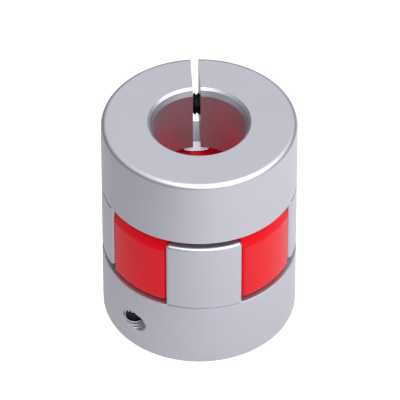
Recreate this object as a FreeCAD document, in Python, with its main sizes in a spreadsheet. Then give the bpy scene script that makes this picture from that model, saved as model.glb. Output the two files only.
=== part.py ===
# Jaw coupling for two shafts: two slit clamp hubs with two jaws each, a four-leg elastomer spider
# between the jaws, and one socket head clamp screw in each hub.
#
# Frame: millimetres, +Z along the shaft axis, origin at the centre of the lower hub's end face.
# The lower hub's jaws are at -Y and +Y and the upper hub's at -X and +X.

import FreeCAD, Part
import os
import re
import Sketcher
from FreeCAD import Placement, Rotation, Vector

# Driving dimensions, in millimetres and degrees. Every sketch and feature is bound to these cells.
SIZES = {
    # Whole coupling
    "outer_radius": 12.5,
    "coupling_length": 30.6,
    # Hub barrel, with a rounded rim and a bore that opens through a chamfer and a slight lead-in
    "barrel_length": 9.7,
    "rim_round": 0.7,
    "shoulder_round": 0.08,
    "bore_radius": 6.0,
    "mouth_chamfer": 0.3,
    "lead_in_depth": 1.05,
    "lead_in_rise": 0.3,
    # Jaws: a flat nose towards the axis and straight flanks that open outwards
    "jaw_length": 10.2,
    "jaw_root_depth": 1.0,
    "nose_distance": 7.4,
    "nose_width": 3.1,
    "flank_angle": 42.0,
    "jaw_round": 0.5,
    "nose_round": 0.5,
    "nose_lead_height": 0.9,
    "nose_lead_depth": 0.8,
    "root_groove_width": 0.3,
    "root_groove_depth": 0.2,
    # Clamp: a slit on one side and a screw across it
    "slit_width": 1.0,
    "screw_offset": 8.65,
    "screw_height": 4.6,
    "seat_distance": 2.4,
    "counterbore_radius": 2.85,
    "clearance_hole_radius": 1.7,
    "tapped_hole_radius": 1.275,
    # M3 x 10 socket head screw
    "thread_pitch": 0.5,
    "thread_radius": 1.475,
    "thread_depth": 0.27,
    "crest_width": 0.0625,
    "first_crest": 0.75,
    "thread_gap": 0.06,
    "screw_length": 10.0,
    "tip_chamfer": 0.3,
    "head_radius": 2.75,
    "head_height": 3.0,
    "head_round": 0.35,
    "socket_flats": 2.5,
    "socket_depth": 1.5,
    "socket_cone_depth": 0.6,
    # Spider
    "leg_radius": 12.25,
    "leg_height": 10.4,
    "web_thickness": 7.6,
    "web_distance": 7.3,
    "recess_radius": 7.9,
    "web_hole_radius": 4.25,
    "flank_gap": 0.07,
    "leg_corner_round": 0.55,
    "leg_root_round": 0.35,
    "leg_edge_round": 0.5,
    "lead_height": 1.85,
    "lead_depth": 0.84,
}

# How far a cutting outline runs past the solid it cuts.
OVERRUN = 2.0

# The sketcher's number for the centre of an arc; its ends are 1 and 2.
CENTRE = 3

# Crests on a screw, crests in a hub's tapped hole, and the screw's crests between its seat and
# the first of those in the hole.
SCREW_CRESTS = 20
HOLE_CRESTS = 18
CRESTS_BEFORE_HOLE = 4

document = FreeCAD.newDocument("jaw_coupling")


def make_sheet():
    """The spreadsheet that holds the driving dimensions, one aliased cell each."""
    sheet = document.addObject("Spreadsheet::Sheet", "Sizes")
    for row, (alias, value) in enumerate(SIZES.items(), start=1):
        sheet.set(f"A{row}", alias)
        sheet.set(f"B{row}", str(value))
        sheet.setAlias(f"B{row}", alias)
    document.recompute()
    return sheet


def sized(text):
    """The expression TEXT with each dimension's name pointed at its cell."""
    def cell(word):
        return f"Sizes.{word[0]}" if word[0] in SIZES else word[0]
    return re.sub(r"[a-z_]+", cell, text)


def bind(feature, **expressions):
    """Bind each named property of a feature to an expression in the driving dimensions."""
    for name, text in expressions.items():
        feature.setExpression(name, sized(text))


def origin_feature(body, role):
    return next(item for item in body.Origin.OriginFeatures if item.Role == role)


def new_sketch(body, name, plane="XY_Plane", **offset):
    """A sketch on one of the body's own origin planes, moved by the bound offsets x, y and z."""
    sketch = body.newObject("Sketcher::SketchObject", name)
    sketch.AttachmentSupport = (origin_feature(body, plane), [""])
    sketch.MapMode = "FlatFace"
    for axis, text in offset.items():
        sketch.setExpression(f"AttachmentOffset.Base.{axis}", sized(text))
    return sketch


def value_of(sketch, text):
    return float(sketch.evalExpression(sized(text)))


def outline(sketch, corners, arcs=None):
    """A closed outline whose corners are pairs of bound expressions.

    The side that leaves a corner is straight, or, where ARCS gives that corner's number a centre,
    a quarter turn or less about the centre.
    """
    arcs = arcs or {}
    points = [Vector(value_of(sketch, across), value_of(sketch, along), 0) for across, along in corners]
    count = len(points)
    starts, ends = [], []
    for index in range(count):
        start, end = points[index], points[(index + 1) % count]
        clockwise = False
        if index in arcs:
            centre = Vector(*[value_of(sketch, text) for text in arcs[index]], 0)
            clockwise = (start - centre).cross(end - centre).z < 0
            first, last = (end, start) if clockwise else (start, end)
            circle = Part.Circle(centre, Vector(0, 0, 1), (start - centre).Length)
            sketch.addGeometry(Part.ArcOfCircle(circle, circle.parameter(first), circle.parameter(last)))
        else:
            sketch.addGeometry(Part.LineSegment(start, end))
        starts.append(2 if clockwise else 1)
        ends.append(1 if clockwise else 2)
    for index, (across, along) in enumerate(corners):
        before = (index - 1) % count
        joined = Sketcher.Constraint("Coincident", before, ends[before], index, starts[index])
        sketch.addConstraint(joined)
        pin(sketch, index, starts[index], f"corner_{index}", points[index], across, along)
    for index, (across, along) in arcs.items():
        centre = Vector(value_of(sketch, across), value_of(sketch, along), 0)
        pin(sketch, index, CENTRE, f"centre_{index}", centre, across)


def pin(sketch, side, spot, label, point, across, along=None):
    """Hold one spot of a side at signed distances from the sketch's origin."""
    for axis, value, text in (("X", point.x, across), ("Y", point.y, along)):
        if text is not None:
            held = Sketcher.Constraint(f"Distance{axis}", -1, 1, side, spot, value)
            name = f"{label}_{axis.lower()}"
            sketch.renameConstraint(sketch.addConstraint(held), name)
            sketch.setExpression(f"Constraints.{name}", sized(text))


def edges_where(feature, test):
    """Names of the feature's edges that pass a test."""
    document.recompute()
    edges = enumerate(feature.Shape.Edges, start=1)
    return [f"Edge{number}" for number, edge in edges if test(edge)]


def round_edges(body, name, size, test):
    """A fillet on the edges of the body's tip that pass a test."""
    base = body.Tip
    names = edges_where(base, test)
    fillet = body.newObject("PartDesign::Fillet", name)
    fillet.Base = (base, names)
    bind(fillet, Radius=size)
    return fillet


def spin(body, kind, name, sketch, axis):
    """A full turn of a sketch, added or cut, about one of its own axes."""
    feature = body.newObject(f"PartDesign::{kind}", name)
    feature.Profile = (sketch, [""])
    feature.ReferenceAxis = (sketch, [axis])
    feature.Angle = 360
    return feature


def repeat_round(body, name, feature, count):
    """A feature repeated evenly round the body's Z axis."""
    pattern = body.newObject("PartDesign::PolarPattern", name)
    pattern.Originals = [feature]
    pattern.Axis = (origin_feature(body, "Z_Axis"), [""])
    pattern.Angle = 360
    pattern.Occurrences = count
    body.Tip = pattern
    return pattern


def repeat_along(body, name, feature, direction, spacing, count, reverse):
    """A feature repeated along a direction with a bound spacing."""
    pattern = body.newObject("PartDesign::LinearPattern", name)
    pattern.Originals = [feature]
    pattern.Direction = direction
    pattern.Reversed = reverse
    pattern.Occurrences = count
    pattern.setExpression("Length", sized(f"({spacing}) * {count - 1}"))
    body.Tip = pattern
    return pattern


def new_body(name):
    body = document.addObject("PartDesign::Body", name)
    body.Label = name
    return body


def at_height(edge, height):
    """Whether an edge lies in the horizontal plane at a height."""
    box = edge.BoundBox
    return abs(box.ZMin - height) < 0.001 and abs(box.ZMax - height) < 0.001


def is_upright(edge):
    box = edge.BoundBox
    return box.XLength < 0.001 and box.YLength < 0.001


def radius_of(edge):
    """Distance of an edge's middle from the Z axis."""
    middle = edge.valueAt((edge.FirstParameter + edge.LastParameter) / 2)
    return Vector(middle.x, middle.y, 0).Length


def make_hub(name):
    """A clamp hub on its end face, jaws up at -Y and +Y, slit at -X, screw head side at +Y."""
    body = new_body(name)
    tip_height = SIZES["barrel_length"] + SIZES["jaw_length"]

    # Bored crown that the jaws are cut from, rooted inside the barrel.
    crown = new_sketch(body, name + "_crown_profile", "XZ_Plane")
    outline(crown, [
        ("bore_radius", "barrel_length / 2"),
        ("outer_radius", "barrel_length / 2"),
        ("outer_radius", "barrel_length + jaw_length"),
        ("bore_radius", "barrel_length + jaw_length"),
    ])
    spin(body, "Revolution", name + "_crown", crown, "V_Axis")

    # Everything between the two jaws is milled away, one side at a time.
    rise = f"(outer_radius + {OVERRUN} - nose_distance)"
    edge = f"nose_width / 2 + {rise} * tan(flank_angle)"
    far = f"outer_radius + {OVERRUN}"
    gap = new_sketch(body, name + "_gap_outline", z="barrel_length + jaw_length")
    outline(gap, [
        ("0", "nose_distance"),
        ("nose_width / 2", "nose_distance"),
        (edge, far),
        (far, far),
        (far, f"-({far})"),
        (edge, f"-({far})"),
        ("nose_width / 2", "-nose_distance"),
        ("0", "-nose_distance"),
    ])
    side = body.newObject("PartDesign::Pocket", name + "_gap")
    side.Profile = (gap, [""])
    bind(side, Length="jaw_length + jaw_root_depth")
    repeat_round(body, name + "_gaps", side, 2)

    # Rounded jaws: their noses, their outer corners, then the whole outline of each tip.
    round_edges(body, name + "_nose_rounds", "nose_round",
                lambda edge: is_upright(edge) and radius_of(edge) < SIZES["outer_radius"] - 1)
    round_edges(body, name + "_jaw_corners", "jaw_round",
                lambda edge: is_upright(edge) and abs(radius_of(edge) - SIZES["outer_radius"]) < 0.01
                and edge.BoundBox.ZMax > tip_height - 0.01)
    round_edges(body, name + "_jaw_tips", "jaw_round", lambda edge: at_height(edge, tip_height))

    # Lead-in cone on the noses at the jaws' tips.
    tip = "(barrel_length + jaw_length)"
    slope = "nose_lead_depth / nose_lead_height"
    lead = new_sketch(body, name + "_nose_lead_profile", "XZ_Plane")
    outline(lead, [
        (f"nose_distance - {OVERRUN} * {slope}", f"{tip} - nose_lead_height - {OVERRUN}"),
        (f"nose_distance + nose_lead_depth + {OVERRUN} * {slope}", f"{tip} + {OVERRUN}"),
        (f"nose_distance - {OVERRUN} * {slope}", f"{tip} + {OVERRUN}"),
    ])
    spin(body, "Groove", name + "_nose_lead", lead, "V_Axis")

    # A fine turned groove round the jaws where they will leave the barrel's face.
    groove = new_sketch(body, name + "_root_groove_profile", "XZ_Plane")
    outline(groove, [
        ("outer_radius - root_groove_depth", "barrel_length"),
        (far, "barrel_length"),
        (far, "barrel_length + root_groove_width"),
        ("outer_radius - root_groove_depth", "barrel_length + root_groove_width"),
    ])
    spin(body, "Groove", name + "_root_groove", groove, "V_Axis")

    # The barrel, rounded at its rim and just broken at its shoulder, with the chamfer and lead-in
    # at the bore's mouth.
    barrel = new_sketch(body, name + "_barrel_profile", "XZ_Plane")
    outline(barrel, [
        ("bore_radius + lead_in_rise + mouth_chamfer", "0"),
        ("outer_radius - rim_round", "0"),
        ("outer_radius", "rim_round"),
        ("outer_radius", "barrel_length - shoulder_round"),
        ("outer_radius - shoulder_round", "barrel_length"),
        ("bore_radius", "barrel_length"),
        ("bore_radius", "lead_in_depth"),
        ("bore_radius + lead_in_rise", "mouth_chamfer"),
    ], arcs={
        1: ("outer_radius - rim_round", "rim_round"),
        3: ("outer_radius - shoulder_round", "barrel_length - shoulder_round"),
    })
    spin(body, "Revolution", name + "_barrel", barrel, "V_Axis")

    # The clamp's slit runs from the bore out through the -X side of the barrel.
    slit = new_sketch(body, name + "_slit_outline")
    outline(slit, [
        ("0", "slit_width / 2"),
        (f"-outer_radius - {OVERRUN}", "slit_width / 2"),
        (f"-outer_radius - {OVERRUN}", "-slit_width / 2"),
        ("0", "-slit_width / 2"),
    ])
    cut = body.newObject("PartDesign::Pocket", name + "_slit")
    cut.Profile = (slit, [""])
    cut.Reversed = True
    bind(cut, Length="barrel_length")

    # Stepped hole across the slit: counterbore and clearance hole at +Y, tapping hole at -Y.
    hole = new_sketch(body, name + "_screw_hole_profile", x="-screw_offset", z="screw_height")
    outline(hole, [
        ("0", "outer_radius"),
        ("counterbore_radius", "outer_radius"),
        ("counterbore_radius", "seat_distance"),
        ("clearance_hole_radius", "seat_distance"),
        ("clearance_hole_radius", "0"),
        ("tapped_hole_radius", "0"),
        ("tapped_hole_radius", "-outer_radius"),
        ("0", "-outer_radius"),
    ])
    spin(body, "Groove", name + "_screw_hole", hole, "V_Axis")

    # Its thread, as one ring per pitch, level with the crests of the screw.
    root = "thread_radius + thread_gap"
    half_root = "crest_width / 2"
    depth = f"({root} - tapped_hole_radius)"
    first = f"(seat_distance - first_crest - thread_pitch * {CRESTS_BEFORE_HOLE})"
    ring = new_sketch(body, name + "_thread_profile", x="-screw_offset", z="screw_height")
    outline(ring, [
        ("tapped_hole_radius - thread_gap", f"{first} - {half_root} - ({depth} + thread_gap) * tan(30)"),
        (root, f"{first} - {half_root}"),
        (root, f"{first} + {half_root}"),
        ("tapped_hole_radius - thread_gap", f"{first} + {half_root} + ({depth} + thread_gap) * tan(30)"),
    ])
    thread = spin(body, "Groove", name + "_thread_ring", ring, "V_Axis")
    repeat_along(body, name + "_thread", thread, (ring, ["V_Axis"]), "thread_pitch", HOLE_CRESTS, True)
    return body


def make_screw(name):
    """A socket head screw standing on its thread's axis, with its seat at the origin and head up."""
    body = new_body(name)
    head_top = SIZES["head_height"]

    profile = new_sketch(body, name + "_blank_profile", "XZ_Plane")
    outline(profile, [
        ("0", "head_height"),
        ("head_radius", "head_height"),
        ("head_radius", "0"),
        ("thread_radius", "0"),
        ("thread_radius", "tip_chamfer - screw_length"),
        ("thread_radius - tip_chamfer", "-screw_length"),
        ("0", "-screw_length"),
    ])
    spin(body, "Revolution", name + "_blank", profile, "V_Axis")
    round_edges(body, name + "_head_edge", "head_round", lambda edge: at_height(edge, head_top))

    # Hexagon socket with the cone that its drill leaves.
    corner = "socket_flats / 2 / cos(30)"
    hexagon = new_sketch(body, name + "_socket_outline", z="head_height")
    outline(hexagon, [
        (f"{corner} * cos({angle})", f"{corner} * sin({angle})") for angle in range(0, 360, 60)
    ])
    socket = body.newObject("PartDesign::Pocket", name + "_socket")
    socket.Profile = (hexagon, [""])
    bind(socket, Length="socket_depth")
    cone = new_sketch(body, name + "_socket_cone_profile", "XZ_Plane")
    outline(cone, [
        ("0", "head_height - socket_depth"),
        ("socket_flats / 2", "head_height - socket_depth"),
        ("0", "head_height - socket_depth - socket_cone_depth"),
    ])
    spin(body, "Groove", name + "_socket_cone", cone, "V_Axis")

    # Thread as one ring per pitch between crests, from under the head to the tip.
    depth = "(thread_depth + thread_gap)"
    root = "thread_radius - thread_depth"
    valley = "-first_crest + thread_pitch / 2"
    half_crest_gap = "(thread_pitch - crest_width) / 2"
    half_root_gap = f"({half_crest_gap} - thread_depth * tan(30))"
    ring = new_sketch(body, name + "_thread_profile", "XZ_Plane")
    outline(ring, [
        (root, f"{valley} - {half_root_gap}"),
        (f"{root} + {depth}", f"{valley} - {half_root_gap} - {depth} * tan(30)"),
        (f"{root} + {depth}", f"{valley} + {half_root_gap} + {depth} * tan(30)"),
        (root, f"{valley} + {half_root_gap}"),
    ])
    thread = spin(body, "Groove", name + "_thread_ring", ring, "V_Axis")
    repeat_along(body, name + "_thread", thread, (ring, ["V_Axis"]), "thread_pitch", SCREW_CRESTS - 1, True)
    return body


def make_spider(name):
    """The elastomer spider, centred on the origin, with a space for a jaw on each axis."""
    body = new_body(name)
    leg_top = SIZES["leg_height"] / 2

    # Full-height ring for the legs, recessed on both faces down to the web inside it.
    profile = new_sketch(body, name + "_blank_profile", "XZ_Plane")
    outline(profile, [
        ("web_hole_radius", "-web_thickness / 2"),
        ("recess_radius", "-web_thickness / 2"),
        ("recess_radius", "-leg_height / 2"),
        ("leg_radius", "-leg_height / 2"),
        ("leg_radius", "leg_height / 2"),
        ("recess_radius", "leg_height / 2"),
        ("recess_radius", "web_thickness / 2"),
        ("web_hole_radius", "web_thickness / 2"),
    ])
    spin(body, "Revolution", name + "_blank", profile, "V_Axis")

    # Space for one jaw: the jaw's own outline moved out by the flank gap.
    inward = "(web_distance - nose_distance)"
    near = f"nose_width / 2 + flank_gap / cos(flank_angle) + {inward} * tan(flank_angle)"
    far = f"{near} + (leg_radius + {OVERRUN} - web_distance) * tan(flank_angle)"
    space = new_sketch(body, name + "_jaw_space_outline", z="leg_height / 2")
    outline(space, [
        (f"-({near})", "web_distance"),
        (near, "web_distance"),
        (far, f"leg_radius + {OVERRUN}"),
        (f"-({far})", f"leg_radius + {OVERRUN}"),
    ])
    cut = body.newObject("PartDesign::Pocket", name + "_jaw_space")
    cut.Profile = (space, [""])
    bind(cut, Length="leg_height")
    repeat_round(body, name + "_jaw_spaces", cut, 4)

    # Moulded radii: leg corners, the legs' ends above the web, the legs' roots on the web, then
    # the edges of both faces.
    round_edges(body, name + "_leg_corners", "leg_corner_round",
                lambda edge: is_upright(edge) and radius_of(edge) > SIZES["leg_radius"] - 0.01)
    round_edges(body, name + "_leg_ends", "leg_corner_round",
                lambda edge: is_upright(edge) and abs(radius_of(edge) - SIZES["recess_radius"]) < 0.01
                and edge.BoundBox.ZLength < SIZES["web_thickness"])
    round_edges(body, name + "_leg_roots", "leg_root_round",
                lambda edge: is_upright(edge) and edge.BoundBox.ZLength > SIZES["web_thickness"] - 0.01
                and SIZES["web_distance"] < radius_of(edge) < SIZES["recess_radius"] + 0.01)
    round_edges(body, name + "_leg_edges", "leg_edge_round",
                lambda edge: at_height(edge, leg_top) or at_height(edge, -leg_top))

    # Lead-in cone round the tops of the legs.
    slope = "lead_depth / lead_height"
    lead = new_sketch(body, name + "_lead_profile", "XZ_Plane")
    outline(lead, [
        (f"leg_radius + {OVERRUN} * {slope}", f"leg_height / 2 - lead_height - {OVERRUN}"),
        (f"leg_radius + {OVERRUN}", f"leg_height / 2 + {OVERRUN}"),
        (f"leg_radius - lead_depth - {OVERRUN} * {slope}", f"leg_height / 2 + {OVERRUN}"),
    ])
    spin(body, "Groove", name + "_lead", lead, "V_Axis")
    return body


def place(body, position, axis, angle):
    """Move a finished body to its place in the coupling, turned about an axis through its origin."""
    x, y, z = (sheet.evalExpression(sized(text)) for text in position)
    body.Placement = Placement(Vector(float(x), float(y), float(z)), Rotation(axis, angle))


sheet = make_sheet()
lower_hub = make_hub("lower_hub")
spider = make_spider("spider")
upper_hub = make_hub("upper_hub")
lower_clamp_screw = make_screw("lower_clamp_screw")
upper_clamp_screw = make_screw("upper_clamp_screw")

# The spider sits half way up. The upper hub is the lower one turned over about the diagonal
# through its slit and tapped side, which also carries it a quarter turn round.
diagonal = Vector(-1, 1, 0)
place(spider, ("0", "0", "coupling_length / 2"), Vector(0, 0, 1), 0)
place(upper_hub, ("0", "0", "coupling_length"), diagonal, 180)

# Each screw lies across its hub's slit with its head on the seat.
place(lower_clamp_screw, ("-screw_offset", "seat_distance", "screw_height"), Vector(1, 0, 0), -90)
place(upper_clamp_screw, ("-seat_distance", "screw_offset", "coupling_length - screw_height"),
      Vector(0, 1, 0), -90)
document.recompute()

# Nothing is written unless the whole document built.
pieces = [lower_hub, spider, upper_hub, lower_clamp_screw, upper_clamp_screw]
for item in document.Objects:
    if "Invalid" in item.State or "Error" in item.State:
        raise RuntimeError(f"{item.Name} failed: {item.State}")
for piece in pieces:
    if piece.Shape.isNull() or not piece.Shape.isValid() or len(piece.Shape.Solids) != 1:
        raise RuntimeError(f"{piece.Label} is not one valid solid")

os.makedirs("parts", exist_ok=True)
for piece in pieces:
    piece.Shape.exportStep(f"parts/{piece.Label}.step")
    print(piece.Label, round(piece.Shape.Volume, 2))
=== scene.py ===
"""Looks of the jaw coupling: materials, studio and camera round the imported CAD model."""

import math

import bpy
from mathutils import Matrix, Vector


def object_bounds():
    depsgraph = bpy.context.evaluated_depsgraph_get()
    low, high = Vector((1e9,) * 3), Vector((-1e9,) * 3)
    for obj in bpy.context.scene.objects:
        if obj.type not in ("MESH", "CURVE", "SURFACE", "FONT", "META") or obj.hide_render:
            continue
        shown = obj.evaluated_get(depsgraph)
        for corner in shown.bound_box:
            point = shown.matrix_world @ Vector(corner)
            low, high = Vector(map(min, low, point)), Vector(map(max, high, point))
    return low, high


MM = 0.001

# Camera: direction in degrees, distance in metres, lens and sensor in millimetres.
CAMERA_AZIMUTH = -3.0
CAMERA_ELEVATION = 42.3
CAMERA_DISTANCE = 0.6947
CAMERA_LENS = 486.3
CAMERA_SENSOR = 36
CAMERA_SHIFT = (0.00175, 0.0264)
CAMERA_CLIP = 0.05

# Floor: its lengths in metres, its drop measured from the coupling's end face.
FLOOR_HALF_SIZE = 3.0
FLOOR_DROP = 0.02 * MM
FLOOR_GREY = 0.2
FLOOR_ROUGHNESS = 0.9

# Light, as brightness where the camera's white is 1. The floor fades over metres from the shaft axis,
# the horizon and zenith over sines of the elevation, and the key light's angles are in degrees.
FLOOR_LEFT = 0.23
FLOOR_RIGHT = 0.77
FLOOR_FADE = (-0.05, 0.022)
# The floor's dip near the coupling's foot is a painted shadow of the coupling, in its light and
# reflections only.
PAINTED_FOOT_SHADE = 0.8
PAINTED_FOOT_SHADE_REACH = (0.012, 0.06)
FLOOR_FAR = 0.1
FLOOR_FAR_REACH = (0.15, 0.5)
ROOM_LEFT = 0.72
ROOM_RIGHT = 1.0
HORIZON = 0.1
HORIZON_FADE = (0.3, 0.62)
ZENITH = 1.0
ZENITH_FADE = (0.93, 0.995)
KEY_AZIMUTH = 35
KEY_ELEVATION = 55
KEY_SPREAD = 60
KEY_STRENGTH = 2.3

# Materials: each colour and roughness runs from the first value to the second over its noise.
METAL_COLOURS = ((0.56, 0.56, 0.625), (0.59, 0.59, 0.66))
METAL_ROUGHNESS = (0.34, 0.42)
METAL_METALLIC = 0.9
METAL_GRAIN = 0.06 * MM
METAL_PATCHES = 5 * MM
METAL_GRAIN_DEPTH = 0.003 * MM
RED_COLOURS = ((0.6, 0.0, 0.004), (0.67, 0.001, 0.006))
RED_ROUGHNESS = (0.2, 0.28)
RED_SPECULAR = 0.26
# The red's glow is painted light: an emission in place of the light that passes through the elastomer.
RED_PAINTED_GLOW_COLOUR = (1.0, 0.0, 0.06, 1)
RED_PAINTED_GLOW = 0.07
RED_GRAIN = 0.15 * MM
RED_FLOW = 4 * MM
RED_FLOW_DEPTH = 0.02 * MM
STEEL_COLOURS = ((0.012, 0.012, 0.014), (0.03, 0.03, 0.034))
STEEL_ROUGHNESS = (0.3, 0.42)
STEEL_METALLIC = 0.8
STEEL_SPECULAR = 0.2
STEEL_GRAIN = 0.1 * MM

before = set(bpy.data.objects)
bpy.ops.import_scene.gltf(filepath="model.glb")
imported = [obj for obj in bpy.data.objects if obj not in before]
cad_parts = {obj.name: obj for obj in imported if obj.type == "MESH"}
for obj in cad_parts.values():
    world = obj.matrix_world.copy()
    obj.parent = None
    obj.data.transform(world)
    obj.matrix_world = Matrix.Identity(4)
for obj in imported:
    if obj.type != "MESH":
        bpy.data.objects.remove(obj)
cad_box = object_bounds()


# ---------------------------------------------------------------- materials

def new_material(name):
    """An empty node material with its Principled shader, ready for links."""
    material = bpy.data.materials.new(name)
    material.use_nodes = True
    shader = material.node_tree.nodes["Principled BSDF"]
    return material, material.node_tree, shader


def add_node(tree, kind, **values):
    """A shader node with the named inputs or properties set."""
    node = tree.nodes.new(kind)
    for key, value in values.items():
        label = key.replace("_", " ").title()
        if label in node.inputs:
            node.inputs[label].default_value = value
        else:
            setattr(node, key, value)
    return node


def object_point(tree):
    """The point being shaded, in metres in the CAD frame."""
    return add_node(tree, "ShaderNodeTexCoord").outputs["Object"]


def noise(tree, point, grain, detail=3.0):
    """Noise whose features are about grain metres across."""
    node = add_node(tree, "ShaderNodeTexNoise", scale=1 / grain, detail=detail)
    tree.links.new(point, node.inputs["Vector"])
    return node.outputs["Fac"]


def ramp(tree, factor, low, high):
    """A value or colour that runs from low to high as factor goes from 0 to 1."""
    if isinstance(low, (int, float)):
        node = tree.nodes.new("ShaderNodeMapRange")
        node.inputs["To Min"].default_value = low
        node.inputs["To Max"].default_value = high
        tree.links.new(factor, node.inputs["Value"])
        return node.outputs["Result"]
    node = tree.nodes.new("ShaderNodeMix")
    node.data_type = "RGBA"
    node.inputs["A"].default_value = (*low, 1)
    node.inputs["B"].default_value = (*high, 1)
    tree.links.new(factor, node.inputs["Factor"])
    return node.outputs["Result"]


def bump(tree, height, distance):
    """A bumped surface direction whose relief is distance metres deep."""
    node = tree.nodes.new("ShaderNodeBump")
    node.inputs["Distance"].default_value = distance
    node.inputs["Strength"].default_value = 1.0
    tree.links.new(height, node.inputs["Height"])
    return node.outputs["Normal"]


def anodised_aluminium():
    """Satin, fine-blasted and clear anodised aluminium with a faint lilac cast."""
    material, tree, shader = new_material("anodised_aluminium")
    point = object_point(tree)
    grain = noise(tree, point, METAL_GRAIN)
    patches = noise(tree, point, METAL_PATCHES, detail=2.0)
    shader.inputs["Metallic"].default_value = METAL_METALLIC
    tree.links.new(ramp(tree, patches, *METAL_COLOURS), shader.inputs["Base Color"])
    tree.links.new(ramp(tree, grain, *METAL_ROUGHNESS), shader.inputs["Roughness"])
    tree.links.new(bump(tree, grain, METAL_GRAIN_DEPTH), shader.inputs["Normal"])
    return material


def red_polyurethane():
    """Glossy red moulded elastomer, with a faint painted glow, an emission that stands in for the light
    that passes through it.
    """
    material, tree, shader = new_material("red_polyurethane")
    point = object_point(tree)
    grain = noise(tree, point, RED_GRAIN)
    flow = noise(tree, point, RED_FLOW, detail=2.0)
    tree.links.new(ramp(tree, flow, *RED_COLOURS), shader.inputs["Base Color"])
    tree.links.new(ramp(tree, grain, *RED_ROUGHNESS), shader.inputs["Roughness"])
    shader.inputs["Specular IOR Level"].default_value = RED_SPECULAR
    # Painted glow: the elastomer gives off a little light of its own.
    shader.inputs["Emission Color"].default_value = RED_PAINTED_GLOW_COLOUR
    shader.inputs["Emission Strength"].default_value = RED_PAINTED_GLOW
    tree.links.new(bump(tree, flow, RED_FLOW_DEPTH), shader.inputs["Normal"])
    return material


def black_oxide_steel():
    """Oiled black oxide on steel."""
    material, tree, shader = new_material("black_oxide_steel")
    point = object_point(tree)
    grain = noise(tree, point, STEEL_GRAIN)
    shader.inputs["Metallic"].default_value = STEEL_METALLIC
    shader.inputs["Specular IOR Level"].default_value = STEEL_SPECULAR
    tree.links.new(ramp(tree, grain, *STEEL_COLOURS), shader.inputs["Base Color"])
    tree.links.new(ramp(tree, grain, *STEEL_ROUGHNESS), shader.inputs["Roughness"])
    return material


def paint(node, material):
    """Give a carried-over CAD node its material."""
    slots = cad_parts[node].data.materials
    slots.clear()
    slots.append(material)


# ---------------------------------------------------------------- studio

def smooth_step(tree, value, start, end, low, high):
    """A value that eases from low to high while the input runs from start to end."""
    node = tree.nodes.new("ShaderNodeMapRange")
    node.interpolation_type = "SMOOTHSTEP"
    for label, number in (("From Min", start), ("From Max", end), ("To Min", low), ("To Max", high)):
        node.inputs[label].default_value = number
    tree.links.new(value, node.inputs["Value"])
    return node.outputs["Result"]


def combine(tree, operation, first, second):
    """Maths on two shader values, the second of which may be a plain number."""
    node = add_node(tree, "ShaderNodeMath", operation=operation)
    tree.links.new(first, node.inputs[0])
    if isinstance(second, (int, float)):
        node.inputs[1].default_value = second
    else:
        tree.links.new(second, node.inputs[1])
    return node.outputs[0]


def split_axes(tree, vector):
    """The three parts of a shader vector."""
    node = tree.nodes.new("ShaderNodeSeparateXYZ")
    tree.links.new(vector, node.inputs[0])
    return node.outputs["X"], node.outputs["Y"], node.outputs["Z"]


def bearing(azimuth, elevation):
    """The unit vector toward an azimuth and elevation in degrees, with azimuth 0 at -Y."""
    turn, rise = math.radians(azimuth), math.radians(elevation)
    return Vector((math.sin(turn) * math.cos(rise), -math.cos(turn) * math.cos(rise), math.sin(rise)))


def toward(tree, direction, azimuth, elevation):
    """The cosine of the angle between a direction and an azimuth and elevation in degrees."""
    node = add_node(tree, "ShaderNodeVectorMath", operation="DOT_PRODUCT")
    tree.links.new(direction, node.inputs[0])
    node.inputs[1].default_value = bearing(azimuth, elevation)
    return node.outputs["Value"]


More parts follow.
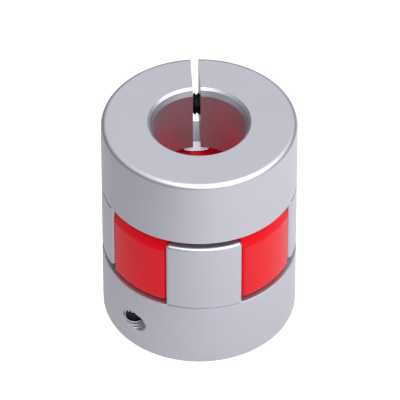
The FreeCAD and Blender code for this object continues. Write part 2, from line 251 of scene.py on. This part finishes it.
def add_floor():
    """A floor just below the coupling, clear when seen from below. The camera sees it plain white.
    As light and in reflections it is dimmer on the left, near the coupling's foot, where a painted
    shadow of the coupling lies, and far away, where the lit sweep ends."""
    mesh = bpy.data.meshes.new("floor")
    corners = [(x * FLOOR_HALF_SIZE, y * FLOOR_HALF_SIZE, -FLOOR_DROP)
               for x, y in ((-1, -1), (1, -1), (1, 1), (-1, 1))]
    mesh.from_pydata(corners, [], [(0, 1, 2, 3)])
    floor = bpy.data.objects.new("floor", mesh)
    bpy.context.scene.collection.objects.link(floor)
    material, tree, shader = new_material("pale_floor")
    shader.inputs["Base Color"].default_value = (FLOOR_GREY, FLOOR_GREY, FLOOR_GREY, 1)
    shader.inputs["Roughness"].default_value = FLOOR_ROUGHNESS
    shader.inputs["Specular IOR Level"].default_value = 0
    point = object_point(tree)
    length = add_node(tree, "ShaderNodeVectorMath", operation="LENGTH")
    tree.links.new(point, length.inputs[0])
    reach = length.outputs["Value"]
    glow = smooth_step(tree, split_axes(tree, point)[0], *FLOOR_FADE, FLOOR_LEFT, FLOOR_RIGHT)
    # Painted shadow: the floor's glow dips near the coupling's foot.
    foot = smooth_step(tree, reach, *PAINTED_FOOT_SHADE_REACH, PAINTED_FOOT_SHADE, 1.0)
    far = smooth_step(tree, reach, *FLOOR_FAR_REACH, 1.0, FLOOR_FAR)
    glow = combine(tree, "MULTIPLY", combine(tree, "MULTIPLY", glow, foot), far)
    pick = tree.nodes.new("ShaderNodeMix")
    tree.links.new(tree.nodes.new("ShaderNodeLightPath").outputs["Is Camera Ray"], pick.inputs["Factor"])
    tree.links.new(glow, pick.inputs["A"])
    pick.inputs["B"].default_value = 1.0
    shader.inputs["Emission Color"].default_value = (1, 1, 1, 1)
    tree.links.new(pick.outputs["Result"], shader.inputs["Emission Strength"])
    # Backfacing is 1 from below, where the floor is clear.
    below = tree.nodes.new("ShaderNodeNewGeometry").outputs["Backfacing"]
    tree.links.new(combine(tree, "LESS_THAN", below, 0.5), shader.inputs["Alpha"])
    mesh.materials.append(material)


def add_world():
    """A white room with a dark horizon, a brighter zenith and a broad softbox, the key, high in front."""
    world = bpy.data.worlds.new("studio")
    bpy.context.scene.world = world
    world.use_nodes = True
    tree = world.node_tree
    background = tree.nodes["Background"]
    background.inputs["Color"].default_value = (1, 1, 1, 1)
    direction = tree.nodes.new("ShaderNodeTexCoord").outputs["Generated"]
    across, _, up = split_axes(tree, direction)
    room = smooth_step(tree, across, -1, 1, ROOM_LEFT, ROOM_RIGHT)
    room = combine(tree, "MULTIPLY", room, smooth_step(tree, up, *HORIZON_FADE, HORIZON, 1.0))
    room = combine(tree, "ADD", room, smooth_step(tree, up, *ZENITH_FADE, 0.0, ZENITH))
    key = smooth_step(tree, toward(tree, direction, KEY_AZIMUTH, KEY_ELEVATION),
                      math.cos(math.radians(KEY_SPREAD)), 1.0, 0.0, KEY_STRENGTH)
    tree.links.new(combine(tree, "ADD", room, key), background.inputs["Strength"])


def add_camera():
    """The camera, aimed at the middle of the coupling."""
    back = bearing(CAMERA_AZIMUTH, CAMERA_ELEVATION)
    data = bpy.data.cameras.new("camera")
    data.lens = CAMERA_LENS
    data.sensor_width = CAMERA_SENSOR
    data.shift_x, data.shift_y = CAMERA_SHIFT
    data.clip_start = CAMERA_CLIP
    camera = bpy.data.objects.new("camera", data)
    bpy.context.scene.collection.objects.link(camera)
    camera.location = (cad_box[0] + cad_box[1]) / 2 + back * CAMERA_DISTANCE
    camera.rotation_mode = "QUATERNION"
    camera.rotation_quaternion = (-back).to_track_quat("-Z", "Y")
    bpy.context.scene.camera = camera


# ---------------------------------------------------------------- the coupling in its studio

metal = anodised_aluminium()
steel = black_oxide_steel()
for node in ("lower_hub", "upper_hub"):
    paint(node, metal)
paint("spider", red_polyurethane())
for node in ("lower_clamp_screw", "upper_clamp_screw"):
    paint(node, steel)

bpy.context.scene.view_settings.view_transform = "Standard"
add_floor()
add_world()
add_camera()
